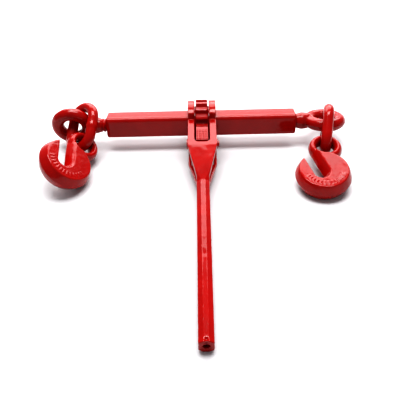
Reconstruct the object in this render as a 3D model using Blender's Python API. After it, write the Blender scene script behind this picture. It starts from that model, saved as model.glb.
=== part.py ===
"""Ratchet load binder: a square barrel with a ratchet gear turns in a long handle's forked head and
draws in two eye screws, each with one chain link and a grab hook.

Metres, +Z up. X runs along the barrel, the handle points along -Y, and the table is z = 0 under the
middle of the barrel.
"""
import math

import bmesh
import bpy
from mathutils import Matrix, Vector

GAP = 0.0003                      # clearance between touching or running pieces
CUT_OVERRUN = 0.0005              # how far a cut runs past the face it opens

# Barrel: square steel tube, bored through
BARREL_LENGTH = 0.254
TUBE_WIDTH = 0.0286
TUBE_CORNER_R = 0.0035
TUBE_BORE_R = 0.0120
TUBE_END_CHAMFER = 0.0016

# Ratchet gear with round journals
GEAR_TEETH = 16
GEAR_TIP_R = 0.0315
GEAR_ROOT_R = 0.0272
GEAR_WIDTH = 0.0154
JOURNAL_R = 0.0225
KEY_PIN_R = 0.0025

# Threads
SCREW_R = 0.009525
INSERT_LENGTH = 0.0240
COLLAR_LENGTH = 0.0050
COLLAR_PIN_R = 0.0015
SCREW_LENGTH = 0.1650             # from the eye's centre to the inner end
SCREW_CHAMFER = 0.0015

# Eyes
EYE_RING_R = 0.0204               # to the middle of the limb
EYE_LIMB_R = 0.0080
NECK_R = 0.0112
NECK_LENGTH = 0.0100
LEFT_EYE_X = -0.1745
RIGHT_EYE_X = 0.1669
LEFT_EYE_ROLL = math.radians(98.5)
RIGHT_EYE_ROLL = math.radians(-12.5)

# Chain links
LINK_WIRE_R = 0.0070
LINK_SPACING = 0.0360             # between the middles of the two bars
LINK_LENGTH = 0.0720              # outside
WELD_SWELL = 1.08

# Grab hooks, drawn in their own plane: a runs down the shank, b across it, h through it
HOOK_THICKNESS = 0.0240
HOOK_RIM_R = 0.0348
HOOK_RIM_CENTRE = (0.0455, -0.0070)
HOOK_RIM_BEVEL = 0.0050
HOOK_THROAT_WIDTH = 0.0130
HOOK_THROAT_END = (0.0515, -0.0127)
HOOK_THROAT_ANGLE = math.radians(19.5)
HOOK_SHANK_BEVEL = 0.0075
HOOK_TIP_BEVEL = 0.0012
HOOK_TIP_LENGTH = 0.0300          # from the throat's end, along the throat
HOOK_TIP_ROUND = 0.0025
HOOK_WALL_LENGTH = 0.0480         # the shank's side of the throat
HOOK_TIP_ANGLE = math.radians(-133.0)
HOOK_BACK_ANGLE = math.radians(137.0)
HOOK_EYE_R = 0.0160               # to the middle of the limb
HOOK_EYE_LIMB_R = 0.0046
HOOK_EYE_LIMB_H = 0.0074

# Handle forging, drawn in its own frame: u runs from the barrel's axis to the grip's end
HEAD_X = 0.0012                   # the head sits a little off the barrel's middle
HANDLE_LENGTH = 0.341
EAR_R = 0.0305
HEAD_WIDTH = 0.0370
EAR_FOOT_U = 0.0150               # where the round ear runs into the head
EAR_FOOT_Z = 0.0265
SLOT_WIDTH = 0.0195
SLOT_END = 0.0625
HEAD_HEIGHT = 0.0370
PLATE_THICKNESS = 0.0050
CHEEK_END = 0.0520
TAPER_START = 0.0690
TAPER_END = 0.1170
LOWER_SLOT_WIDTH = 0.0290
LOWER_SLOT_END = 0.0820
WEB_WIDTH = 0.0120
WEB_START = 0.0640
GRIP_START = 0.1250
WINDOW_END = 0.1130                # the windows narrow towards the grip
WINDOW_POINT = 0.0030
FACET_START = 0.0950               # where the grip's facets begin to cut in
FACET_LIFT = 0.0110
GRIP_WIDTH = 0.0154
GRIP_HEIGHT = 0.0190
GRIP_ROOT_HEIGHT = 0.0220
GRIP_RIDGE_WIDTH = 0.0045
GRIP_CHAMFER_DROP = 0.0032
END_HOLE_R = 0.0036
END_HOLE_DEPTH = 0.0200

# Pawl, its pin and its detent
PAWL_PIVOT_U = 0.0455
PAWL_HUB_R = 0.0110
NOSE_BACK = 0.0045                 # how far each nose's back lies behind its point
NOSE_HEIGHT = 0.0042
PAWL_WIDTH = 0.0156
PAWL_PIN_R = 0.0040
PAWL_PIN_HEAD_R = 0.0065
PAWL_PIN_HEAD = 0.0016
UPPER_NOSE_ANGLE = math.radians(18.3)
LOWER_NOSE_ANGLE = math.radians(-10.8)
THUMB_PLATE_FRONT = 0.0150
THUMB_PLATE_BACK = 0.0125
THUMB_PLATE_DROP = 0.0012
THUMB_PLATE_LIP = 0.0025
THUMB_PLATE_THICKNESS = 0.0030
DETENT_R = 0.0030
DETENT_LENGTH = 0.0100
DETENT_TRAVEL = 0.0020
SPRING_R = 0.0024
SPRING_WIRE_R = 0.00035
SPRING_TURNS = 7
SPRING_LENGTH = 0.0150

AXIS_Z = GEAR_TIP_R
HANDLE_TILT = math.asin((AXIS_Z - GRIP_HEIGHT / 2) / HANDLE_LENGTH)
BARREL_TURN = math.pi / GEAR_TEETH          # half a tooth, so a flat faces a gap between teeth
HALF_BARREL = BARREL_LENGTH / 2

RED = (0.46, 0.012, 0.008, 1.0)
STEEL = (0.42, 0.42, 0.43, 1.0)


# ---------------------------------------------------------------- helpers

def clear_scene():
    for obj in list(bpy.data.objects):
        bpy.data.objects.remove(obj, do_unlink=True)


def material(name, colour, roughness, metallic):
    mat = bpy.data.materials.get(name) or bpy.data.materials.new(name)
    mat.use_nodes = True
    shader = mat.node_tree.nodes["Principled BSDF"]
    shader.inputs["Base Color"].default_value = colour
    shader.inputs["Roughness"].default_value = roughness
    shader.inputs["Metallic"].default_value = metallic
    return mat


def finish_mesh(name, bm, paint="red", parent=None, matrix=None, smooth=True):
    bmesh.ops.recalc_face_normals(bm, faces=bm.faces)
    mesh = bpy.data.meshes.new(name)
    bm.to_mesh(mesh)
    bm.free()
    if smooth:
        mesh.shade_smooth()
        mesh.set_sharp_from_angle(angle=math.radians(35))
    obj = bpy.data.objects.new(name, mesh)
    bpy.context.scene.collection.objects.link(obj)
    if parent:
        obj.parent = parent
    if matrix:
        obj.matrix_local = matrix
    if paint == "red":
        mesh.materials.append(material("red_paint", RED, 0.25, 0.0))
    else:
        mesh.materials.append(material("plated_steel", STEEL, 0.35, 1.0))
    return obj


def empty(name, matrix):
    obj = bpy.data.objects.new(name, None)
    bpy.context.scene.collection.objects.link(obj)
    obj.matrix_world = matrix
    return obj


def cutter(name, bm, parent=None, matrix=None):
    obj = finish_mesh(name, bm, parent=parent, matrix=matrix, smooth=False)
    obj.hide_render = True
    obj.display_type = "WIRE"
    return obj


def boolean(obj, other, operation):
    mod = obj.modifiers.new(operation.lower() + "_" + other.name, "BOOLEAN")
    mod.operation = operation
    mod.object = other
    mod.solver = "EXACT"


def loft(rings, closed=False):
    """Faces between rings of points; the first and last ring are capped unless the loft is closed."""
    bm = bmesh.new()
    rows = [[bm.verts.new(p) for p in ring] for ring in rings]
    pairs = list(zip(rows, rows[1:]))
    if closed:
        pairs.append((rows[-1], rows[0]))
    for low, high in pairs:
        count = len(low)
        for i in range(count):
            j = (i + 1) % count
            bm.faces.new((low[i], low[j], high[j], high[i]))
    if not closed:
        bm.faces.new(rows[0][::-1])
        bm.faces.new(rows[-1])
    return bm


def turned(profile, segments=32):
    """A solid turned about X from (x, radius) pairs, capped at both ends."""
    rings = []
    for x, radius in profile:
        ring = [(x, radius * math.cos(t), radius * math.sin(t)) for t in circle(segments)]
        rings.append(ring)
    return loft(rings)


def circle(segments):
    return [2 * math.pi * i / segments for i in range(segments)]


def arc(centre, radius, start, end, steps):
    """Points on an arc from one angle to another, both ends included."""
    turn = (end - start) / steps
    return [(centre[0] + radius * math.cos(start + turn * i),
             centre[1] + radius * math.sin(start + turn * i)) for i in range(steps + 1)]


def extruded(outline, depth, axis):
    """A flat outline given a depth both ways along X or Z."""
    if axis == "X":
        rings = [[(s * depth, p[0], p[1]) for p in outline] for s in (-1, 1)]
    else:
        rings = [[(p[0], p[1], s * depth) for p in outline] for s in (-1, 1)]
    return loft(rings)


def rounded_square(width, corner, steps=4):
    half = width / 2 - corner
    points = []
    for k, (sy, sz) in enumerate(((1, 1), (-1, 1), (-1, -1), (1, -1))):
        points += arc((sy * half, sz * half), corner, k * math.pi / 2, (k + 1) * math.pi / 2, steps)
    return points


def box(low, high):
    outline = [(low[0], low[1]), (high[0], low[1]), (high[0], high[1]), (low[0], high[1])]
    return loft([[(x, y, z) for x, y in outline] for z in (low[2], high[2])])


def swept(path, radii, segments):
    """A round bar along a closed flat path of (x, z) points, with its own radius at each point."""
    count = len(path)
    rings = []
    for i in range(count):
        before = Vector(path[i - 1])
        after = Vector(path[(i + 1) % count])
        along = (after - before).normalized()
        side = Vector((along.y, -along.x))
        ring = []
        for t in circle(segments):
            across = radii[i][0] * math.cos(t)
            ring.append((path[i][0] + side.x * across, radii[i][1] * math.sin(t),
                         path[i][1] + side.y * across))
        rings.append(ring)
    return loft(rings, closed=True)


def frame_matrix(x_axis, y_axis, z_axis, origin):
    columns = Matrix((x_axis, y_axis, z_axis)).transposed().to_4x4()
    columns.translation = origin
    return columns


# ---------------------------------------------------------------- barrel, gear and threads

def make_barrel(frame, gear_frame):
    half = HALF_BARREL
    steps = ((-half, TUBE_END_CHAMFER), (-half + TUBE_END_CHAMFER, 0.0),
             (half - TUBE_END_CHAMFER, 0.0), (half, TUBE_END_CHAMFER))
    rings = []
    for x, inset in steps:
        outline = rounded_square(TUBE_WIDTH - 2 * inset, TUBE_CORNER_R)
        rings.append([(x, y, z) for y, z in outline])
    tube = finish_mesh("barrel_tube", loft(rings), parent=frame)
    boolean(tube, cutter("tube_bore", turned([(-half * 1.1, TUBE_BORE_R), (half * 1.1, TUBE_BORE_R)]),
                         frame), "DIFFERENCE")

    ear_outside = HEAD_WIDTH / 2
    journals = turned([(-ear_outside, JOURNAL_R), (ear_outside, JOURNAL_R)], 48)
    gear = finish_mesh("ratchet_gear", journals, parent=gear_frame)
    pitch = 2 * math.pi / GEAR_TEETH
    outline = []
    for k in range(GEAR_TEETH):
        tip = math.pi / 2 + BARREL_TURN + k * pitch
        for share, radius in ((-0.34, GEAR_ROOT_R), (-0.14, GEAR_TIP_R), (0.14, GEAR_TIP_R),
                              (0.34, GEAR_ROOT_R)):
            outline.append((radius * math.cos(tip + share * pitch),
                            radius * math.sin(tip + share * pitch)))
    boolean(gear, cutter("gear_teeth", extruded(outline, GEAR_WIDTH / 2, "X"), gear_frame),
            "UNION")
    socket = rounded_square(TUBE_WIDTH + 2 * GAP, TUBE_CORNER_R + GAP)
    boolean(gear, cutter("gear_socket", extruded(socket, HEAD_WIDTH, "X"), gear_frame), "DIFFERENCE")

    # The key pin stands on a flat of the tube, in the gap between two teeth
    low, high = -(TUBE_BORE_R + GAP), -(GEAR_ROOT_R - 3 * GAP)
    pin = [[(KEY_PIN_R * math.cos(t), KEY_PIN_R * math.sin(t), z) for t in circle(16)]
           for z in (high, low)]
    finish_mesh("gear_key_pin", loft(pin), paint="steel", parent=gear_frame)
    reach = KEY_PIN_R + GAP
    hole = [[(reach * math.cos(t), reach * math.sin(t), z) for t in circle(16)]
            for z in (-GEAR_TIP_R, -TUBE_BORE_R * 0.7)]
    hole_cutter = cutter("key_pin_hole", loft(hole), gear_frame)
    boolean(tube, hole_cutter, "DIFFERENCE")
    boolean(gear, hole_cutter, "DIFFERENCE")


def make_thread_insert(name, side, frame):
    outer = TUBE_BORE_R - GAP
    start = side * (HALF_BARREL - GAP)
    end = side * (HALF_BARREL - INSERT_LENGTH)
    insert = finish_mesh(name, turned([(start, outer), (end, outer)]), paint="steel", parent=frame)
    bore = turned([(start * 1.1, SCREW_R + GAP), (end * 0.9, SCREW_R + GAP)], 28)
    boolean(insert, cutter(name + "_bore", bore, frame), "DIFFERENCE")


def make_eye_screw(name, side, eye_x, roll, frame):
    """Eye ring, tapered neck and rod; the rod runs inwards from the eye."""
    ring_path = [(EYE_RING_R * math.cos(t), EYE_RING_R * math.sin(t)) for t in circle(40)]
    ring = swept(ring_path, [(EYE_LIMB_R, EYE_LIMB_R)] * len(ring_path), 14)
    for vert in ring.verts:
        vert.co = Vector((vert.co.x, vert.co.z, vert.co.y))
    ring.normal_update()
    screw = finish_mesh(name, ring, matrix=Matrix.Translation((eye_x, 0, AXIS_Z))
                        @ Matrix.Rotation(roll, 4, "X"))
    inner = eye_x - side * SCREW_LENGTH
    neck = eye_x - side * EYE_RING_R
    shoulder = neck - side * EYE_LIMB_R
    rod = [(neck, NECK_R * 0.70), (shoulder, NECK_R), (shoulder - side * NECK_LENGTH, SCREW_R),
           (inner + side * SCREW_CHAMFER, SCREW_R), (inner, SCREW_R - SCREW_CHAMFER)]
    boolean(screw, cutter(name + "_rod", turned(rod, 28), frame), "UNION")

    # The stop collar sits on a turned-down end and is held by a cross pin
    stub_r = SCREW_R - 2 * SCREW_CHAMFER
    seat = inner + side * COLLAR_LENGTH
    relief = turned([(inner - side * GAP, TUBE_BORE_R), (seat, TUBE_BORE_R)])
    relief_obj = cutter(name + "_relief", relief, frame)
    boolean(relief_obj,
            cutter(name + "_stub", turned([(inner - side * 2 * GAP, stub_r),
                                            (seat + side * GAP, stub_r)], 24), frame), "DIFFERENCE")
    boolean(screw, relief_obj, "DIFFERENCE")
    return screw, inner, seat, stub_r


def make_stop(screw, inner, seat, stub_r, side, name, frame):
    collar_end = seat - side * GAP
    collar = finish_mesh("screw_stop_" + name,
                         turned([(inner, TUBE_BORE_R - 2 * GAP), (collar_end, TUBE_BORE_R - 2 * GAP)]),
                         paint="steel", parent=frame)
    bore = turned([(inner - side * CUT_OVERRUN, stub_r + GAP), (collar_end + side * CUT_OVERRUN,
                  stub_r + GAP)], 24)
    boolean(collar, cutter("stop_bore_" + name, bore, frame), "DIFFERENCE")
    middle = (inner + collar_end) / 2
    reach = TUBE_BORE_R - 3 * GAP
    pin = [[(middle + COLLAR_PIN_R * math.cos(t), COLLAR_PIN_R * math.sin(t), z) for t in circle(12)]
           for z in (-reach, reach)]
    finish_mesh("stop_pin_" + name, loft(pin), paint="steel", parent=frame)
    wide = COLLAR_PIN_R + GAP
    hole = [[(middle + wide * math.cos(t), wide * math.sin(t), z) for t in circle(12)]
            for z in (-2 * reach, 2 * reach)]
    hole_cutter = cutter("stop_pin_hole_" + name, loft(hole), frame)
    boolean(collar, hole_cutter, "DIFFERENCE")
    boolean(screw, hole_cutter, "DIFFERENCE")


# ---------------------------------------------------------------- links and hooks

def make_link(name, matrix):
    """A chain link in its own XZ plane, with a slight weld swelling halfway up one bar."""
    bend_r = LINK_SPACING / 2
    bend_z = LINK_LENGTH / 2 - LINK_WIRE_R - bend_r
    path = arc((0, bend_z), bend_r, 0, math.pi, 14) + arc((0, -bend_z), bend_r, math.pi, 2 * math.pi, 14)
    weld = [(bend_r, bend_z * share) for share in (-0.4, -0.2, 0.0, 0.2, 0.4)]
    radii = [(LINK_WIRE_R, LINK_WIRE_R)] * len(path)
    for share in (1 + (WELD_SWELL - 1) * s for s in (0.0, 0.6, 1.0, 0.6, 0.0)):
        radii.append((LINK_WIRE_R * share, LINK_WIRE_R * share))
    return finish_mesh(name, swept(path + weld, radii, 14), matrix=matrix)


def hook_outline(rim_inset, shank_inset, tip_inset):
    """The hook's edge in its own plane, drawn in by its own bevel along each stretch."""
    ca, cb = HOOK_RIM_CENTRE
    along = Vector((math.cos(HOOK_THROAT_ANGLE), math.sin(HOOK_THROAT_ANGLE)))
    across = Vector((-along.y, along.x))
    end = Vector(HOOK_THROAT_END)
    points = arc((ca, cb), HOOK_RIM_R - rim_inset, HOOK_BACK_ANGLE, HOOK_TIP_ANGLE, 40)
    half = HOOK_THROAT_WIDTH / 2
    tip_out = end - across * (half + tip_inset) - along * HOOK_TIP_LENGTH
    points.append(tuple(tip_out + Vector((0, -0.35 * (HOOK_TIP_ROUND - 0.2 * rim_inset)))))
    points.append(tuple(tip_out + along * HOOK_TIP_ROUND))
    for i in range(9):
        share = i / 8
        angle = -math.pi / 2 + math.pi * share
        inset = tip_inset + (shank_inset - tip_inset) * share ** 2
        radius = half + inset
        points.append(tuple(end + along * radius * math.cos(angle) + across * radius * math.sin(angle)))
    wall = end + across * (half + shank_inset)
    points.append(tuple(wall - along * 0.4 * HOOK_WALL_LENGTH))
    points.append(tuple(wall - along * (HOOK_WALL_LENGTH - shank_inset * 0.3)))
    return points


def make_hook(name, matrix):
    half = HOOK_THICKNESS / 2
    middle = hook_outline(0.0, 0.0, 0.0)
    cheek = hook_outline(HOOK_RIM_BEVEL, HOOK_SHANK_BEVEL, HOOK_TIP_BEVEL)
    rings = []
    for height, outline in ((-half, cheek), (0.0, middle), (half, cheek)):
        rings.append([(a, b, height) for a, b in outline])
    hook = finish_mesh(name, loft(rings), matrix=matrix)
    eye_path = [(HOOK_EYE_R * math.cos(t), HOOK_EYE_R * math.sin(t)) for t in circle(36)]
    ring = swept(eye_path, [(HOOK_EYE_LIMB_R, HOOK_EYE_LIMB_H)] * len(eye_path), 12)
    hole = loft([[(HOOK_EYE_R * math.cos(t), HOOK_EYE_R * math.sin(t), z) for t in circle(36)]
                 for z in (-HOOK_THICKNESS, HOOK_THICKNESS)])
    boolean(hook, cutter(name + "_hole", hole, matrix=matrix), "DIFFERENCE")
    for vert in ring.verts:
        vert.co = Vector((vert.co.x, vert.co.z, vert.co.y))
    boolean(hook, cutter(name + "_eye", ring, matrix=matrix), "UNION")
    return hook


# ---------------------------------------------------------------- handle, pawl and detent

def side_view():
    """The handle's outline from the side, as (y, z) with y = -u."""
    top = HEAD_HEIGHT / 2
    foot_angle = math.atan2(EAR_FOOT_Z, -EAR_FOOT_U)
    points = arc((0, 0), EAR_R, foot_angle, -foot_angle, 40)
    lower = [(-1.1 * EAR_FOOT_U, -top), (-TAPER_START, -top), (-GRIP_START, -GRIP_ROOT_HEIGHT / 2),
             (-HANDLE_LENGTH, -GRIP_HEIGHT / 2)]
    upper = [(y, -z) for y, z in reversed(lower)]
    return points + lower + upper


def plan_view():
    head, grip = HEAD_WIDTH / 2, GRIP_WIDTH / 2
    right = [(head, EAR_R * 1.1), (head, -TAPER_START), (grip, -TAPER_END), (grip, -HANDLE_LENGTH * 1.1)]
    return right + [(-x, y) for x, y in reversed(right)]


def slot_outline(width, end):
    half = width / 2
    corner = min(half * 0.6, 0.006)
    points = [(half, EAR_R * 1.2)]
    points += arc((half - corner, -end + corner), corner, 0, -math.pi / 2, 5)
    points += arc((-half + corner, -end + corner), corner, -math.pi / 2, -math.pi, 5)
    return points + [(-half, EAR_R * 1.2)]


def prism_z(outline, low, high):
    return loft([[(x, y, z) for x, y in outline] for z in (low, high)])


def grip_section_cutter(side, level):
    """A wedge that takes one long edge off the grip, leaving a narrow ridge along its middle."""
    ridge, edge, drop = GRIP_RIDGE_WIDTH / 2, GRIP_WIDTH / 2, GRIP_CHAMFER_DROP
    slope = drop / (edge - ridge)
    far = HEAD_WIDTH
    rings = []
    overrun = 0.1
    for u, height in ((GRIP_START, GRIP_ROOT_HEIGHT / 2), (HANDLE_LENGTH * (1 + overrun),
                      GRIP_HEIGHT / 2 - overrun * (GRIP_ROOT_HEIGHT - GRIP_HEIGHT) / 2)):
        z = level * height
        rings.append([(side * ridge, -u, z), (side * far, -u, z - level * slope * (far - ridge)),
                      (side * far, -u, z + level * far), (side * ridge, -u, z + level * far)])
    first = [(x, -FACET_START, z + level * FACET_LIFT) for x, _, z in rings[0]]
    return loft([first] + rings)


def make_handle(frame):
    handle = finish_mesh("yoke_handle", extruded(side_view(), HEAD_WIDTH, "X"), parent=frame)
    inner = HEAD_HEIGHT / 2 - PLATE_THICKNESS
    cuts = [cutter("ear_bore", turned([(-HEAD_WIDTH, JOURNAL_R + GAP), (HEAD_WIDTH, JOURNAL_R + GAP)],
                                      48), frame)]
    cuts.append(cutter("upper_slot", prism_z(slot_outline(SLOT_WIDTH, SLOT_END), -inner, HEAD_WIDTH), frame))
    cuts.append(cutter("lower_slot_front", prism_z(slot_outline(SLOT_WIDTH, CHEEK_END), -HEAD_WIDTH, 0.0),
                       frame))
    wide = slot_outline(LOWER_SLOT_WIDTH, LOWER_SLOT_END)
    wide = [(x, min(y, -CHEEK_END - 2 * CUT_OVERRUN)) for x, y in wide]
    cuts.append(cutter("lower_slot_rear", prism_z(wide, -HEAD_WIDTH, -inner + CUT_OVERRUN), frame))
    for side, label in ((-1, "left"), (1, "right")):
        near, far = side * WEB_WIDTH / 2, side * HEAD_WIDTH
        wall = [(-CHEEK_END, inner), (-CHEEK_END, -inner), (-TAPER_START, -inner),
                (-WINDOW_END, -inner * 0.35), (-WINDOW_END - WINDOW_POINT, 0.0),
                (-WINDOW_END, inner * 0.35), (-TAPER_START, inner)]
        rings = [[(x, y, z) for y, z in wall] for x in (near, far)]
        cuts.append(cutter("window_" + label, loft(rings), frame))
        for level in (-1, 1):
            cuts.append(cutter("grip_edge_%s_%d" % (label, level), grip_section_cutter(side, level),
                               frame))
    clear = box((-SLOT_WIDTH / 2, -WEB_START, -inner - 2 * CUT_OVERRUN), (SLOT_WIDTH / 2, 0, inner))
    cuts.append(cutter("pawl_pocket", clear, frame))
    plan = cutter("plan_outline", prism_z(plan_view(), -2 * EAR_R, 2 * EAR_R), frame)
    boolean(handle, plan, "INTERSECT")
    for cut in cuts:
        boolean(handle, cut, "DIFFERENCE")

    pin_hole = turned([(-HEAD_WIDTH, PAWL_PIN_R + GAP), (HEAD_WIDTH, PAWL_PIN_R + GAP)], 24)
    place = Matrix.Translation((0, -PAWL_PIVOT_U, 0))
    boolean(handle, cutter("pin_hole", pin_hole, frame, place), "DIFFERENCE")
    depth = DETENT_LENGTH + SPRING_LENGTH + DETENT_TRAVEL
    detent_start = PAWL_PIVOT_U + PAWL_HUB_R + GAP
    for name, radius, near, far in (("detent_bore", DETENT_R + GAP, 0.95 * WEB_START,
                                     detent_start + depth),
                                    ("end_hole", END_HOLE_R, HANDLE_LENGTH - END_HOLE_DEPTH,
                                     HANDLE_LENGTH * 1.1)):
        rings = [[(radius * math.cos(t), -u, radius * math.sin(t)) for t in circle(20)]
                 for u in (near, far)]
        boolean(handle, cutter(name, loft(rings), frame), "DIFFERENCE")


def pawl_outline():
    """The rocker from the side, as (y, z) about its pivot: a narrow nose above and one below, each
    facing a gap between two teeth, and a flat thumb plate on top."""
    swing_r = GEAR_TIP_R + 2 * GAP
    upper = gear_point(UPPER_NOSE_ANGLE, swing_r)
    lower = gear_point(LOWER_NOSE_ANGLE, swing_r)
    plate = HEAD_HEIGHT / 2 - THUMB_PLATE_DROP
    top = [(lower[0] - NOSE_BACK, lower[1] - NOSE_HEIGHT), lower,
           (lower[0] - NOSE_BACK, lower[1] + NOSE_HEIGHT),
           (upper[0] - NOSE_BACK, upper[1] - 1.5 * NOSE_HEIGHT), upper,
           (upper[0] - NOSE_BACK, upper[1] + 0.7 * NOSE_HEIGHT),
           (THUMB_PLATE_FRONT - THUMB_PLATE_LIP, plate - THUMB_PLATE_THICKNESS),
           (THUMB_PLATE_FRONT, plate - 0.2 * THUMB_PLATE_LIP),
           (THUMB_PLATE_FRONT - 0.3 * THUMB_PLATE_LIP, plate),
           (-THUMB_PLATE_BACK, plate), (-THUMB_PLATE_BACK, plate - THUMB_PLATE_THICKNESS)]
    return top + arc((0, 0), PAWL_HUB_R, math.radians(140), math.radians(262), 12)


def gear_point(angle, radius):
    """A point at a gear radius, seen from the pawl's pivot; the angle is measured up from the handle."""
    return (PAWL_PIVOT_U - radius * math.cos(angle), radius * math.sin(angle))


def make_pawl(frame):
    place = Matrix.Translation((0, -PAWL_PIVOT_U, 0))
    pawl = finish_mesh("pawl", extruded(pawl_outline(), PAWL_WIDTH / 2, "X"), parent=frame,
                       matrix=place)
    bore = turned([(-PAWL_WIDTH, PAWL_PIN_R + GAP), (PAWL_WIDTH, PAWL_PIN_R + GAP)], 24)
    boolean(pawl, cutter("pawl_bore", bore, frame, place), "DIFFERENCE")
    sweep = turned([(-HEAD_WIDTH, GEAR_TIP_R + 2 * GAP), (HEAD_WIDTH, GEAR_TIP_R + 2 * GAP)], 96)
    boolean(pawl, cutter("gear_sweep", sweep, frame), "DIFFERENCE")

    side = HEAD_WIDTH / 2 + GAP
    groove = side + 2 * PAWL_PIN_HEAD
    pin = [(-side - PAWL_PIN_HEAD, PAWL_PIN_HEAD_R), (-side, PAWL_PIN_HEAD_R), (-side, PAWL_PIN_R),
           (side, PAWL_PIN_R), (side, PAWL_PIN_R * 0.8), (groove - PAWL_PIN_HEAD, PAWL_PIN_R * 0.8),
           (groove - PAWL_PIN_HEAD, PAWL_PIN_R), (groove, PAWL_PIN_R)]
    finish_mesh("pawl_pin", turned(pin, 24), paint="steel", parent=frame, matrix=place)
    low, high = side + GAP, groove - PAWL_PIN_HEAD - GAP
    ring = finish_mesh("pawl_pin_ring", turned([(low, PAWL_PIN_HEAD_R), (high, PAWL_PIN_HEAD_R)], 24),
                       paint="steel", parent=frame, matrix=place)
    inside = turned([(low * 0.9, PAWL_PIN_R * 0.8 + GAP), (high * 1.1, PAWL_PIN_R * 0.8 + GAP)], 24)
    boolean(ring, cutter("ring_bore", inside, frame, place), "DIFFERENCE")
    opening = box((low * 0.9, -PAWL_PIN_R * 0.6, -0.02), (high * 1.1, PAWL_PIN_R * 0.6, 0.0))
    boolean(ring, cutter("ring_gap", opening, frame, place), "DIFFERENCE")


def make_detent(frame):
    """A round-nosed plunger pushed against the pawl's hub by a coil spring in the same bore."""
    start = PAWL_PIVOT_U + PAWL_HUB_R + GAP
    rings = []
    for share in (0.25, 0.55, 0.8, 1.0):
        drop = DETENT_R * (1 - math.sqrt(1 - share * share))
        rings.append([(DETENT_R * share * math.cos(t), -start - drop, DETENT_R * share * math.sin(t))
                      for t in circle(16)])
    rings.append([(DETENT_R * math.cos(t), -start - DETENT_LENGTH, DETENT_R * math.sin(t))
                  for t in circle(16)])
    finish_mesh("detent_plunger", loft(rings), paint="steel", parent=frame)

    first = start + DETENT_LENGTH + SPRING_WIRE_R + GAP
    length = SPRING_LENGTH - 2 * SPRING_WIRE_R
    points = SPRING_TURNS * 12
    rings = []
    for i in range(points + 1):
        turn = 2 * math.pi * i / 12
        u = first + length * i / points
        out = Vector((math.cos(turn), 0, math.sin(turn)))
        middle = out * (SPRING_R - SPRING_WIRE_R) + Vector((0, -u, 0))
        ring = []
        for t in circle(6):
            ring.append(tuple(middle + out * SPRING_WIRE_R * math.cos(t)
                              + Vector((0, SPRING_WIRE_R * math.sin(t), 0))))
        rings.append(ring)
    finish_mesh("detent_spring", loft(rings), paint="steel", parent=frame)


# ---------------------------------------------------------------- places of the links and hooks

def unit(vector):
    return Vector(vector).normalized()


def placed(first, last, origin):
    """A frame from its first and last axes; the last is squared up against the first."""
    first, last = unit(first), unit(last)
    last = unit(last - first * last.dot(first))
    return frame_matrix(first, last.cross(first), last, Vector(origin))


def left_places():
    """The left link leans back through the upright eye; the hook lies on its rim in front of it."""
    link = placed((0.8268, -0.3935, 0.4019), (0.1250, 0.8252, 0.5508), (-0.15968, -0.01141, 0.03557))
    hook = placed((-0.1934, -0.9809, 0.0207), (0.6509, -0.1125, 0.7508), (-0.15749, -0.03928, 0.02309))
    return link, hook


def right_places():
    """The right link stands over the eye's front limb; the hook lies nearly flat, its eye raised."""
    link = placed((0.1284, 0.5778, -0.8060), (0.1464, 0.7928, 0.5916), (0.16569, -0.02664, 0.03254))
    hook = placed((-0.0445, -0.9884, -0.1455), (-0.0252, -0.1445, 0.9892), (0.15951, -0.05560, 0.02298))
    return link, hook


def main():
    clear_scene()
    world = empty("binder", Matrix.Identity(4))
    axis = Matrix.Translation((0, 0, AXIS_Z))
    head_axis = Matrix.Translation((HEAD_X, 0, AXIS_Z))
    handle_frame = empty("handle_frame", head_axis @ Matrix.Rotation(HANDLE_TILT, 4, "X"))
    gear_frame = empty("gear_frame", head_axis @ Matrix.Rotation(-BARREL_TURN, 4, "X"))
    barrel_frame = empty("barrel_frame", axis @ Matrix.Rotation(-BARREL_TURN, 4, "X"))
    screw_frame = empty("screw_frame", axis)
    for frame in (handle_frame, gear_frame, barrel_frame, screw_frame):
        frame.parent = world
    bpy.context.view_layer.update()

    make_handle(handle_frame)
    make_pawl(handle_frame)
    make_detent(handle_frame)
    make_barrel(barrel_frame, gear_frame)
    for name, side, eye_x, roll in (("left", -1, LEFT_EYE_X, LEFT_EYE_ROLL),
                                    ("right", 1, RIGHT_EYE_X, RIGHT_EYE_ROLL)):
        make_thread_insert("thread_insert_" + name, side, barrel_frame)
        screw, inner, seat, stub_r = make_eye_screw("eye_screw_" + name, side, eye_x, roll, screw_frame)
        make_stop(screw, inner, seat, stub_r, side, name, screw_frame)
    for name, places in (("left", left_places()), ("right", right_places())):
        make_link("end_link_" + name, places[0])
        make_hook("grab_hook_" + name, places[1])


main()
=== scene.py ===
"""Looks for the ratchet load binder: gloss red paint over forged steel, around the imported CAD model.

Metres, +Z up, in the CAD model's frame. The tube, eyes, rods, links and hooks are modelled again here;
the gear, handle and pawl start as copies of their CAD solids. The eyes, hooks, gear, handle and pawl are
then softened by a voxel skin, as forging and paint do.
"""
import math

import bmesh
import bpy
import numpy as np
from mathutils import Matrix, Vector, noise


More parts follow.
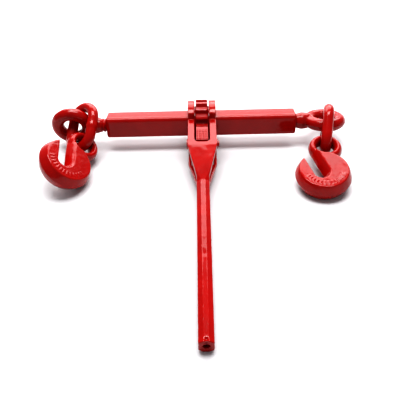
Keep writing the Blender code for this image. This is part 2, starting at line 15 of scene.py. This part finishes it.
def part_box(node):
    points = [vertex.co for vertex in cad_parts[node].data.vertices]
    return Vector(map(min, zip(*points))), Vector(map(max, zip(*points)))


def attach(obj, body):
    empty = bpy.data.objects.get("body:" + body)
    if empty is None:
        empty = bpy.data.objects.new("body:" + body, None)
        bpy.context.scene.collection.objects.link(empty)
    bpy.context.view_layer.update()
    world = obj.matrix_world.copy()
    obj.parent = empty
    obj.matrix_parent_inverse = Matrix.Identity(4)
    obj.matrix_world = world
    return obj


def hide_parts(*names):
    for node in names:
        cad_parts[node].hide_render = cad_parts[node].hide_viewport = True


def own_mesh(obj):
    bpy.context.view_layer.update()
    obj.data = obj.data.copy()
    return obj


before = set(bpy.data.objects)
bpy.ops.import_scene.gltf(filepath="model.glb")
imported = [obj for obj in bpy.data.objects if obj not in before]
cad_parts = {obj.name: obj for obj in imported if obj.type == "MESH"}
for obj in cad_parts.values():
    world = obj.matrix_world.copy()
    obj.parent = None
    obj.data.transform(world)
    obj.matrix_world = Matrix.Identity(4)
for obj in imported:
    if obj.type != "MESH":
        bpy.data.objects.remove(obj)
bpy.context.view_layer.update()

# Sizes as in the CAD model
AXIS_Z = 0.0315                  # height of the barrel's axis
BARREL_TURN = math.pi / 16       # the tube's flats stand half a tooth off level
TUBE_WIDTH = 0.0286
TUBE_BORE_R = 0.0120
TUBE_CHAMFER = 0.0016
SCREW_R = 0.009525
NECK_R = 0.0112
NECK_LENGTH = 0.0100
SCREW_LENGTH = 0.1650
COLLAR_LENGTH = 0.0050
# Each eye's side, direction, place along X and roll about X
EYES = (("left", -1, -0.1745, math.radians(98.5)), ("right", 1, 0.1669, math.radians(-12.5)))
LINK_WIRE_R = 0.0070
LINK_SPACING = 0.0360
LINK_LENGTH = 0.0720
HOOK_THICKNESS = 0.0240
HOOK_RIM_R = 0.0348
HOOK_RIM_CENTRE = (0.0455, -0.0070)
HOOK_THROAT_WIDTH = 0.0130
HOOK_THROAT_END = (0.0515, -0.0127)
HOOK_THROAT_ANGLE = math.radians(19.5)
HOOK_RIM_BEVEL = 0.0050
HOOK_SHANK_BEVEL = 0.0075
HOOK_TIP_BEVEL = 0.0012
HOOK_TIP_LENGTH = 0.0300
HOOK_TIP_ROUND = 0.0025
HOOK_BACK_ANGLE = math.radians(137)
HOOK_TIP_ANGLE = math.radians(-133)
HEAD_X = 0.0012                  # the head sits a little off the barrel's middle
HANDLE_LENGTH = 0.341
GRIP_START = 0.125
GRIP_HEIGHT = 0.0190
HANDLE_TILT = math.asin((AXIS_Z - GRIP_HEIGHT / 2) / HANDLE_LENGTH)
PAWL_PIVOT_U = 0.0455

# Sizes of this visual model alone; the first six differ a little from the CAD model's
TUBE_CORNER_R = 0.0056
EYE_RING_R = 0.0201
EYE_LIMB_R = 0.0083
HOOK_EYE_R = 0.0162
HOOK_EYE_LIMB_R = 0.0051
HOOK_EYE_LIMB_H = 0.0086
THREAD_LEAD = 0.0045             # the screws' travel for one turn of the barrel
THREAD_DEPTH = 0.0014
FINE_GRAIN = 0.00055             # voxel size of the eyes' and hooks' skins
PAST_END = 0.01                  # carries a band clear of the grip's end


# ---------------------------------------------------------------- mesh helpers

def new_piece(name, bm):
    bmesh.ops.recalc_face_normals(bm, faces=bm.faces)
    mesh = bpy.data.meshes.new(name)
    bm.to_mesh(mesh)
    bm.free()
    piece = bpy.data.objects.new(name, mesh)
    bpy.context.scene.collection.objects.link(piece)
    return piece


def from_node(name, node):
    """A piece that starts as a closed copy of a CAD node's mesh."""
    bm = bmesh.new()
    bm.from_mesh(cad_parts[node].data)
    bmesh.ops.remove_doubles(bm, verts=bm.verts, dist=1e-6)
    return new_piece(name, bm)


def apply_modifiers(piece):
    graph = bpy.context.evaluated_depsgraph_get()
    mesh = bpy.data.meshes.new_from_object(piece.evaluated_get(graph))
    piece.modifiers.clear()
    piece.data = mesh
    mesh.shade_smooth()


def skin(piece, grain, rounds):
    """One closed surface over overlapping solids, softened by a few rounds of smoothing."""
    remesh = piece.modifiers.new("skin", "REMESH")
    remesh.mode = "VOXEL"
    remesh.voxel_size = grain
    smooth = piece.modifiers.new("soften", "SMOOTH")
    smooth.iterations = rounds
    apply_modifiers(piece)


def subtract(piece, bm):
    tool = new_piece("cutting_tool", bm)
    cut = piece.modifiers.new("cut", "BOOLEAN")
    cut.operation = "DIFFERENCE"
    cut.object = tool
    cut.solver = "EXACT"
    apply_modifiers(piece)
    bpy.data.objects.remove(tool, do_unlink=True)


def push(piece, amount):
    """Moves each vertex along its normal by what amount() says for its point and normal."""
    mesh = piece.data
    points = np.array([v.co for v in mesh.vertices], float)
    normals = np.array([v.normal for v in mesh.vertices], float)
    points += normals * amount(points, normals)[:, None]
    mesh.vertices.foreach_set("co", points.ravel().astype(np.float32))
    mesh.update()


def lumps(points, size, seed=0.0):
    """Smooth noise from -1 to 1, with lumps about that size."""
    shift = Vector((seed, -seed, 2 * seed))
    return np.array([noise.noise(Vector(p) / size + shift) for p in points])


def band(values, low, high, edge):
    """1 between low and high, easing to 0 over edge on both sides."""
    rise = np.clip((values - low) / edge + 0.5, 0, 1)
    fall = np.clip((high - values) / edge + 0.5, 0, 1)
    return (rise * rise * (3 - 2 * rise)) * (fall * fall * (3 - 2 * fall))


def local(points, matrix):
    """World points in a piece's own frame."""
    inverse = np.array(matrix.inverted())
    return points @ inverse[:3, :3].T + inverse[:3, 3]


def loft(rings, closed=False):
    bm = bmesh.new()
    rows = [[bm.verts.new(p) for p in ring] for ring in rings]
    pairs = list(zip(rows, rows[1:]))
    if closed:
        pairs.append((rows[-1], rows[0]))
    for low, high in pairs:
        count = len(low)
        for i in range(count):
            j = (i + 1) % count
            bm.faces.new((low[i], low[j], high[j], high[i]))
    if not closed:
        bm.faces.new(rows[0][::-1])
        bm.faces.new(rows[-1])
    return bm


def circle(segments):
    return [2 * math.pi * i / segments for i in range(segments)]


def arc(centre, radius, start, end, steps):
    turn = (end - start) / steps
    return [(centre[0] + radius * math.cos(start + turn * i),
             centre[1] + radius * math.sin(start + turn * i)) for i in range(steps + 1)]


def turned(profile, segments):
    """Rings about X from (x, radius) pairs."""
    return [[(x, r * math.cos(t), r * math.sin(t)) for t in circle(segments)] for x, r in profile]


def swept(path, radius_at, segments, squash=1.0):
    """A closed bar along a flat loop of (x, y) points; squash is its height over its width."""
    count = len(path)
    rings = []
    for i in range(count):
        along = (Vector(path[(i + 1) % count]) - Vector(path[i - 1])).normalized()
        side = Vector((along.y, -along.x))
        radius = radius_at(i / count)
        rings.append([(path[i][0] + side.x * radius * math.cos(t),
                       path[i][1] + side.y * radius * math.cos(t),
                       radius * squash * math.sin(t)) for t in circle(segments)])
    return loft(rings, closed=True)


def join(target, source, matrix=Matrix.Identity(4)):
    """Adds one mesh under construction to another."""
    mesh = bpy.data.meshes.new("joined")
    source.to_mesh(mesh)
    mesh.transform(matrix)
    target.from_mesh(mesh)
    source.free()
    bpy.data.meshes.remove(mesh)
    return target


def frame_matrix(x_axis, y_axis, z_axis, origin):
    columns = Matrix((x_axis, y_axis, z_axis)).transposed().to_4x4()
    columns.translation = origin
    return columns


# ---------------------------------------------------------------- materials

def link_nodes(tree, pairs):
    for out, into in pairs:
        tree.links.new(out, into)


def noise_node(tree, source, scale, detail, rough=0.5):
    node = tree.nodes.new("ShaderNodeTexNoise")
    node.inputs["Scale"].default_value = scale
    node.inputs["Detail"].default_value = detail
    node.inputs["Roughness"].default_value = rough
    tree.links.new(source, node.inputs["Vector"])
    return node


def ramp_node(tree, source, stops):
    node = tree.nodes.new("ShaderNodeValToRGB")
    while len(node.color_ramp.elements) < len(stops):
        node.color_ramp.elements.new(0.5)
    for element, (place, colour) in zip(node.color_ramp.elements, stops):
        element.position = place
        element.color = colour if len(colour) == 4 else (*colour, 1.0)
    tree.links.new(source, node.inputs["Fac"])
    return node


def range_node(tree, source, low, high):
    node = tree.nodes.new("ShaderNodeMapRange")
    node.inputs["To Min"].default_value = low
    node.inputs["To Max"].default_value = high
    tree.links.new(source, node.inputs["Value"])
    return node


def bump_node(tree, source, distance, strength, below=None):
    node = tree.nodes.new("ShaderNodeBump")
    node.inputs["Distance"].default_value = distance
    node.inputs["Strength"].default_value = strength
    tree.links.new(source, node.inputs["Height"])
    if below:
        tree.links.new(below.outputs["Normal"], node.inputs["Normal"])
    return node


def red_paint(name, peel=1.0, deep=(0.24, 0.0007, 0.0004), bright=(0.32, 0.0015, 0.0008)):
    """Gloss enamel on forged steel: orange peel, slow waves under it, and a painted highlight: lighter red
    on sharp convex edges.
    """
    mat = bpy.data.materials.new(name)
    mat.use_nodes = True
    tree = mat.node_tree
    shader = tree.nodes["Principled BSDF"]
    place = tree.nodes.new("ShaderNodeTexCoord").outputs["Object"]
    tone = noise_node(tree, place, 38.0, 3.0)
    colour = ramp_node(tree, tone.outputs["Fac"], [(0.32, deep), (0.62, bright)])
    # Painted highlight: sharp convex edges (high pointiness) get a lighter red base colour, standing in for
    # the gloss catching light along edges
    edge = tree.nodes.new("ShaderNodeNewGeometry").outputs["Pointiness"]
    painted_edge_highlight = ramp_node(tree, edge, [(0.47, (0.0, 0.0, 0.0)), (0.62, (1.0, 1.0, 1.0))])
    mix = tree.nodes.new("ShaderNodeMix")
    mix.data_type = "RGBA"
    mix.inputs["B"].default_value = (0.38, 0.008, 0.005, 1.0)
    gloss = noise_node(tree, place, 150.0, 4.0, 0.65)
    rough = range_node(tree, gloss.outputs["Fac"], 0.13, 0.30)
    fine = noise_node(tree, place, 850.0, 2.0)
    slow = noise_node(tree, place, 160.0, 2.0)
    waves = bump_node(tree, slow.outputs["Fac"], 0.0005, 0.22 * peel)
    orange = bump_node(tree, fine.outputs["Fac"], 0.00012, 0.22 * peel, waves)
    link_nodes(tree, [(painted_edge_highlight.outputs["Color"], mix.inputs["Factor"]),
                      (colour.outputs["Color"], mix.inputs["A"]),
                      (mix.outputs["Result"], shader.inputs["Base Color"]),
                      (rough.outputs["Result"], shader.inputs["Roughness"]),
                      (orange.outputs["Normal"], shader.inputs["Normal"])])
    shader.inputs["Specular IOR Level"].default_value = 0.08
    shader.inputs["Coat Weight"].default_value = 0.42
    shader.inputs["Coat Roughness"].default_value = 0.05
    shader.inputs["Coat IOR"].default_value = 1.5
    return mat


def plated_steel():
    """Zinc plate: pale grey metal with turning marks and a little tarnish."""
    mat = bpy.data.materials.new("plated_steel")
    mat.use_nodes = True
    tree = mat.node_tree
    shader = tree.nodes["Principled BSDF"]
    place = tree.nodes.new("ShaderNodeTexCoord").outputs["Object"]
    stain = noise_node(tree, place, 120.0, 4.0, 0.6)
    colour = ramp_node(tree, stain.outputs["Fac"], [(0.35, (0.34, 0.33, 0.31)), (0.65, (0.60, 0.60, 0.60))])
    rough = range_node(tree, stain.outputs["Fac"], 0.22, 0.45)
    stretch = tree.nodes.new("ShaderNodeMapping")
    stretch.inputs["Scale"].default_value = (1.0, 0.06, 0.06)
    tree.links.new(place, stretch.inputs["Vector"])
    marks = noise_node(tree, stretch.outputs["Vector"], 2600.0, 2.0)
    turning = bump_node(tree, marks.outputs["Fac"], 0.00006, 0.4)
    link_nodes(tree, [(colour.outputs["Color"], shader.inputs["Base Color"]),
                      (rough.outputs["Result"], shader.inputs["Roughness"]),
                      (turning.outputs["Normal"], shader.inputs["Normal"])])
    shader.inputs["Metallic"].default_value = 1.0
    return mat


RED = red_paint("red_enamel")
RED_ROUGH = red_paint("red_enamel_on_rough_forging", peel=2.2)
STEEL = plated_steel()


def dress(piece, paint, body, node):
    piece.data.materials.clear()
    piece.data.materials.append(paint)
    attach(piece, body)
    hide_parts(node)


# ---------------------------------------------------------------- barrel and gear

def make_barrel():
    low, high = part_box("barrel_tube")
    half = (high.x - low.x) / 2
    middle = (high.x + low.x) / 2

    def square(width):
        corner = TUBE_CORNER_R - (TUBE_WIDTH - width) / 5
        side = width / 2 - corner
        points = []
        for k, (sy, sz) in enumerate(((1, 1), (-1, 1), (-1, -1), (1, -1))):
            points += arc((sy * side, sz * side), corner, k * math.pi / 2, (k + 1) * math.pi / 2, 10)
        return points
    steps = [(-half, TUBE_CHAMFER), (-half + 0.35 * TUBE_CHAMFER, 0.4 * TUBE_CHAMFER),
             (-half + TUBE_CHAMFER, 0.0)]
    count = 84
    inner = half - TUBE_CHAMFER
    steps += [(-inner + 2 * inner * i / count, 0.0) for i in range(1, count)]
    steps += [(inner, 0.0), (half - 0.35 * TUBE_CHAMFER, 0.4 * TUBE_CHAMFER),
              (half, TUBE_CHAMFER)]
    rings = [[(x, y, z) for y, z in square(TUBE_WIDTH - 2 * inset)] for x, inset in steps]
    tube = new_piece("barrel_square_tube", loft(rings))
    subtract(tube, loft(turned([(-half * 1.1, TUBE_BORE_R), (half * 1.1, TUBE_BORE_R)], 64)))
    tube.data.transform(Matrix.Translation((middle, 0, AXIS_Z)) @ Matrix.Rotation(-BARREL_TURN, 4, "X"))
    tube.data.shade_smooth()
    tube.data.set_sharp_from_angle(angle=math.radians(32))
    dress(tube, RED, "barrel", "barrel_tube")

    gear = from_node("ratchet_gear_cast", "ratchet_gear")
    skin(gear, 0.0005, 3)
    push(gear, lambda p, n: 0.00006 * lumps(p, 0.0035, 3.0))
    dress(gear, RED, "barrel", "ratchet_gear")


# ---------------------------------------------------------------- eye screws

def make_eye(name, side, eye_x, roll):
    place = Matrix.Translation((eye_x, 0, AXIS_Z)) @ Matrix.Rotation(roll, 4, "X")
    loop = [(EYE_RING_R * math.cos(t), EYE_RING_R * math.sin(t)) for t in circle(96)]
    ring = swept(loop, lambda share: EYE_LIMB_R, 40)
    neck = -side * EYE_RING_R
    shoulder = neck - side * EYE_LIMB_R
    rod_start = shoulder - side * NECK_LENGTH
    inside = neck + side * 0.5 * EYE_LIMB_R
    profile = [(inside, NECK_R * 0.50), (neck, NECK_R * 0.84), (neck - side * 0.0035, NECK_R * 0.95),
               (shoulder, NECK_R), (shoulder - side * 0.25 * NECK_LENGTH, NECK_R * 1.02),
               (shoulder - side * 0.60 * NECK_LENGTH, NECK_R * 0.95), (rod_start, SCREW_R * 0.99),
               (rod_start - side * 0.0012, SCREW_R * 0.93)]
    if side < 0:
        profile = profile[::-1]
    eye = new_piece("eye_forging_" + name, join(ring, loft(turned(profile[::-1], 48))))
    skin(eye, FINE_GRAIN, 10)

    def forge(points, normals):
        flash = np.exp(-(points[:, 2] / 0.0007) ** 2) * (np.abs(normals[:, 2]) < 0.75)
        rough = lumps(points, 0.006, 1.0 + side) * 0.00014 + lumps(points, 0.0018, 5.0) * 0.00003
        return 0.00032 * flash + rough
    push(eye, forge)
    eye.data.transform(place)
    dress(eye, RED_ROUGH, "screw_" + name, "eye_screw_" + name)

    # The threaded rod: rings whose radius follows the helix, right-handed at the left, left at the right
    inner = eye_x - side * SCREW_LENGTH
    seat = inner + side * COLLAR_LENGTH
    start = eye_x + rod_start
    length = abs(start - seat)
    turns = length / THREAD_LEAD
    rows, around = int(turns * 12), 48
    rings = []
    for i in range(rows + 1):
        share = i / rows
        x = start + (seat - start) * share
        fade = min(1.0, share * length / 0.0025, (1 - share) * length / 0.0020 + 0.15)
        ring = []
        for t in circle(around):
            phase = (share * turns - t / (2 * math.pi)) % 1.0
            crest = abs(2 * phase - 1)
            cut = np.clip((crest - 0.22) / 0.56, 0, 1)
            radius = SCREW_R - THREAD_DEPTH * cut * fade - 0.0001
            ring.append((x, radius * math.cos(t), radius * math.sin(t) + AXIS_Z))
        rings.append(ring)
    rod = new_piece("threaded_rod_" + name, loft(rings))
    rod.data.shade_smooth()
    rod.data.set_sharp_from_angle(angle=math.radians(50))
    rod.data.materials.append(RED)
    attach(rod, "screw_" + name)


# ---------------------------------------------------------------- links and hooks

def placed(first, last, origin):
    """A frame from its first and last axes; the last is squared up against the first."""
    first, last = Vector(first).normalized(), Vector(last)
    last = (last - first * last.dot(first)).normalized()
    return frame_matrix(first, last.cross(first), last, Vector(origin))


def link_places():
    """Each link's own frame: across its bars, through it, and along them."""
    left = placed((0.8268, -0.3935, 0.4019), (0.1250, 0.8252, 0.5508), (-0.15968, -0.01141, 0.03557))
    right = placed((0.1284, 0.5778, -0.8060), (0.1464, 0.7928, 0.5916), (0.16569, -0.02664, 0.03254))
    return left, right


def hook_places():
    """Each hook's own frame, from its eye: down the shank, across it, and out of the cheek."""
    left = placed((-0.1934, -0.9809, 0.0207), (0.6509, -0.1125, 0.7508), (-0.15749, -0.03928, 0.02309))
    right = placed((-0.0445, -0.9884, -0.1455), (-0.0252, -0.1445, 0.9892), (0.15951, -0.05560, 0.02298))
    return left, right


def make_link(name, place):
    bend = LINK_SPACING / 2
    top = LINK_LENGTH / 2 - LINK_WIRE_R - bend
    steps = 14
    bar = [top * (1 - 2 * i / steps) for i in range(1, steps)]
    path = arc((0, top), bend, 0, math.pi, 44) + [(-bend, z) for z in bar]
    path += arc((0, -top), bend, math.pi, 2 * math.pi, 44) + [(bend, -z) for z in bar]
    link = new_piece("chain_link_" + name, swept(path, lambda share: LINK_WIRE_R, 36))

    def weld(points, normals):
        near = np.exp(-(points[:, 1] / 0.0030) ** 2) * (points[:, 0] > 0)
        bead = np.exp(-((np.abs(points[:, 1]) - 0.0020) / 0.0008) ** 2) * (points[:, 0] > 0)
        rough = lumps(points, 0.0014, 7.0) * 0.00012 * near
        return (LINK_WIRE_R * 0.085 * near + 0.00018 * bead + rough
                + 0.00006 * lumps(points, 0.008, 2.0))
    push(link, weld)
    link.data.transform(place @ Matrix(((1, 0, 0, 0), (0, 0, -1, 0), (0, 1, 0, 0), (0, 0, 0, 1))))
    link.data.shade_smooth()
    dress(link, RED, "link_" + name, "end_link_" + name)


def hook_outline(rim_inset, shank_inset, tip_inset):
    """The hook's edge in its own plane, drawn in by its own bevel along each stretch."""
    along = Vector((math.cos(HOOK_THROAT_ANGLE), math.sin(HOOK_THROAT_ANGLE)))
    across = Vector((-along.y, along.x))
    end = Vector(HOOK_THROAT_END)
    points = arc(HOOK_RIM_CENTRE, HOOK_RIM_R - rim_inset, HOOK_BACK_ANGLE, HOOK_TIP_ANGLE, 110)
    half = HOOK_THROAT_WIDTH / 2
    tip_out = end - across * (half + tip_inset) - along * HOOK_TIP_LENGTH
    points.append(tuple(tip_out + Vector((0, -0.35 * (HOOK_TIP_ROUND - 0.2 * rim_inset)))))
    points.append(tuple(tip_out + along * HOOK_TIP_ROUND))
    for i in range(25):
        share = i / 24
        angle = -math.pi / 2 + math.pi * share
        radius = half + tip_inset + (shank_inset - tip_inset) * share ** 2
        points.append(tuple(end + along * radius * math.cos(angle) + across * radius * math.sin(angle)))
    wall = end + across * (half + shank_inset)
    points.append(tuple(wall - along * 0.0200))
    points.append(tuple(wall - along * 0.0380 + across * 0.0008))
    points.append(tuple(wall - along * (0.0455 - shank_inset * 0.3) + across * 0.0030))
    return points


def make_hook(name, place):
    half = HOOK_THICKNESS / 2
    levels = 9
    rings = []
    for i in range(levels):
        height = 2 * i / (levels - 1) - 1
        ease = abs(height) ** 1.35
        outline = hook_outline(HOOK_RIM_BEVEL * ease, HOOK_SHANK_BEVEL * ease, HOOK_TIP_BEVEL * ease)
        rings.append([(a, b, half * height) for a, b in outline])
    hook = new_piece("hook_forging_" + name, loft(rings))
    hole = [[(HOOK_EYE_R * math.cos(t), HOOK_EYE_R * math.sin(t), z) for t in circle(72)]
            for z in (-HOOK_THICKNESS, HOOK_THICKNESS)]
    subtract(hook, loft(hole))
    loop = [(HOOK_EYE_R * math.cos(t), HOOK_EYE_R * math.sin(t)) for t in circle(90)]
    whole = bmesh.new()
    whole.from_mesh(hook.data)
    join(whole, swept(loop, lambda share: HOOK_EYE_LIMB_R, 32, HOOK_EYE_LIMB_H / HOOK_EYE_LIMB_R))
    whole.to_mesh(hook.data)
    whole.free()
    skin(hook, FINE_GRAIN, 14)

    def forge(points, normals):
        """Even plain pads in a band along the rim on each cheek, and a faint parting line."""
        a = points[:, 0] - HOOK_RIM_CENTRE[0]
        b = points[:, 1] - HOOK_RIM_CENTRE[1]
        radius = np.hypot(a, b)
        angle = np.degrees(np.arctan2(b, a))
        cheek = np.abs(normals[:, 2]) > 0.9
        pads = band(np.mod(angle, 11.0), 2.0, 8.6, 2.2) * band(angle, -62.0, 72.0, 3.0)
        pads *= band(radius, 0.0205, 0.0262, 0.0010) * cheek
        flash = np.exp(-(points[:, 2] / 0.0006) ** 2) * (np.abs(normals[:, 2]) < 0.7)
        rough = 0.00012 * lumps(points, 0.007, 4.0) + 0.00003 * lumps(points, 0.0016, 8.0)
        return 0.00040 * pads + 0.00020 * flash + rough
    push(hook, forge)
    hook.data.transform(place)
    dress(hook, RED_ROUGH, "hook_" + name, "grab_hook_" + name)


# ---------------------------------------------------------------- handle and pawl

def make_handle():
    handle = from_node("handle_forging", "yoke_handle")
    skin(handle, 0.0007, 4)
    place = Matrix.Translation((HEAD_X, 0, AXIS_Z)) @ Matrix.Rotation(HANDLE_TILT, 4, "X")

    def forge(points, normals):
        p = local(points, place)
        u = -p[:, 1]
        grip = band(u, GRIP_START, HANDLE_LENGTH + PAST_END, 0.010)
        peel = band(u, 0.245, HANDLE_LENGTH + PAST_END, 0.030) * (p[:, 0] < -0.002)
        notch = band(u, HANDLE_LENGTH - 0.0042, HANDLE_LENGTH + PAST_END, 0.0016)
        notch *= np.clip(1 - np.abs(p[:, 0]) / 0.0026, 0, 1) * (p[:, 2] > 0.004)
        rough = 0.00010 * lumps(points, 0.009, 6.0) + 0.00022 * peel * lumps(points, 0.0030, 9.0)
        return rough + 0.00006 * grip * lumps(points, 0.0045, 12.0) - 0.0016 * notch
    push(handle, forge)
    dress(handle, RED_ROUGH, "handle", "yoke_handle")

    pawl = from_node("pawl_forging", "pawl")
    skin(pawl, 0.0004, 4)

    def ribs(points, normals):
        """Raised thumb marks across the front of the pawl's top face."""
        p = local(points, place)
        u = -p[:, 1]
        top = (normals[:, 2] > 0.85) & (p[:, 2] > 0.014)
        field = band(u, PAWL_PIVOT_U - 0.0075, PAWL_PIVOT_U + 0.0115, 0.0008)
        field *= band(p[:, 0], -0.0068, 0.0068, 0.0008)
        blocks = band(np.mod(u, 0.0036), 0.0006, 0.0026, 0.0006)
        blocks *= band(np.mod(p[:, 0] + 0.0002, 0.0040), 0.0004, 0.0032, 0.0006)
        return 0.00085 * top * field * blocks + 0.00005 * lumps(points, 0.002, 3.0)
    push(pawl, ribs)
    dress(pawl, RED_ROUGH, "pawl", "pawl")


def make_spring():
    """The detent's spring, which on the real binder closes up as the plunger is pressed in; here it keeps
    its CAD shape, with a mesh of its own.
    """
    spring = from_node("detent_coil_spring", "detent_spring")
    spring.data.shade_smooth()
    dress(spring, STEEL, "handle", "detent_spring")
    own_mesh(spring)


def make_hardware():
    """The small pieces keep their CAD shapes: plated steel, but the pawl's pin and ring are red."""
    for name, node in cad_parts.items():
        if not node.hide_render:
            painted = name.startswith("pawl_pin")
            node.data.materials.clear()
            node.data.materials.append(RED if painted else STEEL)


make_barrel()
for eye in EYES:
    make_eye(*eye)
for side, link_place, hook_place in zip(("left", "right"), link_places(), hook_places()):
    make_link(side, link_place)
    make_hook(side, hook_place)
make_handle()
make_spring()
make_hardware()


# ---------------------------------------------------------------- floor, light and camera

def make_floor():
    """A wide pale floor that curves up far behind the object."""
    bm = bmesh.new()
    depth = [(-3.0, 0.0), (2.6, 0.0)] + [(2.6 + 0.8 * math.sin(t), 0.8 - 0.8 * math.cos(t))
                                         for t in (0.4, 0.8, 1.2, 1.57)] + [(3.4, 2.5)]
    rows = [[bm.verts.new((x, y, z)) for x in (-4.0, 4.0)] for y, z in depth]
    for near, far in zip(rows, rows[1:]):
        bm.faces.new((near[0], near[1], far[1], far[0]))
    floor = new_piece("studio_floor", bm)
    floor.data.shade_smooth()
    mat = bpy.data.materials.new("pale_floor")
    mat.use_nodes = True
    tree = mat.node_tree
    shader = tree.nodes["Principled BSDF"]
    place = tree.nodes.new("ShaderNodeTexCoord").outputs["Object"]
    tone = noise_node(tree, place, 1.5, 2.0)
    colour = ramp_node(tree, tone.outputs["Fac"], [(0.3, (0.61, 0.61, 0.62)), (0.7, (0.63, 0.63, 0.64))])
    tree.links.new(colour.outputs["Color"], shader.inputs["Base Color"])
    shader.inputs["Roughness"].default_value = 0.75
    shader.inputs["Specular IOR Level"].default_value = 0.2
    floor.data.materials.append(mat)


def add_area(name, place, target, size, power):
    light = bpy.data.lights.new(name, "AREA")
    light.shape = "RECTANGLE"
    light.size, light.size_y = size
    light.energy = power
    obj = bpy.data.objects.new(name, light)
    bpy.context.scene.collection.objects.link(obj)
    obj.location = place
    obj.rotation_euler = (Vector(target) - Vector(place)).to_track_quat("-Z", "Y").to_euler()


def light_studio():
    add_area("top_softbox", (0.0, 0.10, 1.80), (0, -0.02, 0), (1.4, 0.6), 34.0)
    add_area("back_softbox", (0.0, 1.45, 1.30), (0, -0.05, 0), (2.6, 1.3), 50.0)
    add_area("wall_wash", (0.0, 1.60, 1.70), (0, 3.40, 0.90), (4.0, 0.6), 110.0)
    world = bpy.data.worlds.new("studio")
    world.use_nodes = True
    world.node_tree.nodes["Background"].inputs["Color"].default_value = (0.97, 0.97, 1.0, 1.0)
    world.node_tree.nodes["Background"].inputs["Strength"].default_value = 0.26
    scene = bpy.context.scene
    scene.world = world
    scene.view_settings.view_transform = "Standard"
    scene.view_settings.look = "High Contrast"


def add_camera():
    """A camera that looks down at the object by its tilt, with a slight roll and yaw."""
    tilt, roll, yaw = math.radians(41.13), math.radians(-1.64), math.radians(0.59)
    forward = Vector((0, math.cos(tilt), -math.sin(tilt)))
    up = Vector((0, math.sin(tilt), math.cos(tilt)))
    right = Vector((1, 0, 0))
    rolled_right = right * math.cos(roll) + up * math.sin(roll)
    rolled_up = up * math.cos(roll) - right * math.sin(roll)
    basis = frame_matrix(rolled_right, rolled_up, -forward, Vector((0, 0, 0)))
    camera = bpy.data.cameras.new("studio_camera")
    camera.lens, camera.sensor_width = 49.5, 36.0
    obj = bpy.data.objects.new("studio_camera", camera)
    bpy.context.scene.collection.objects.link(obj)
    turn = Matrix.Rotation(yaw, 4, "Z")
    obj.matrix_world = Matrix.Translation((0.0021, -0.6329, 0.4449)) @ turn @ basis
    bpy.context.scene.camera = obj


make_floor()
light_studio()
add_camera()
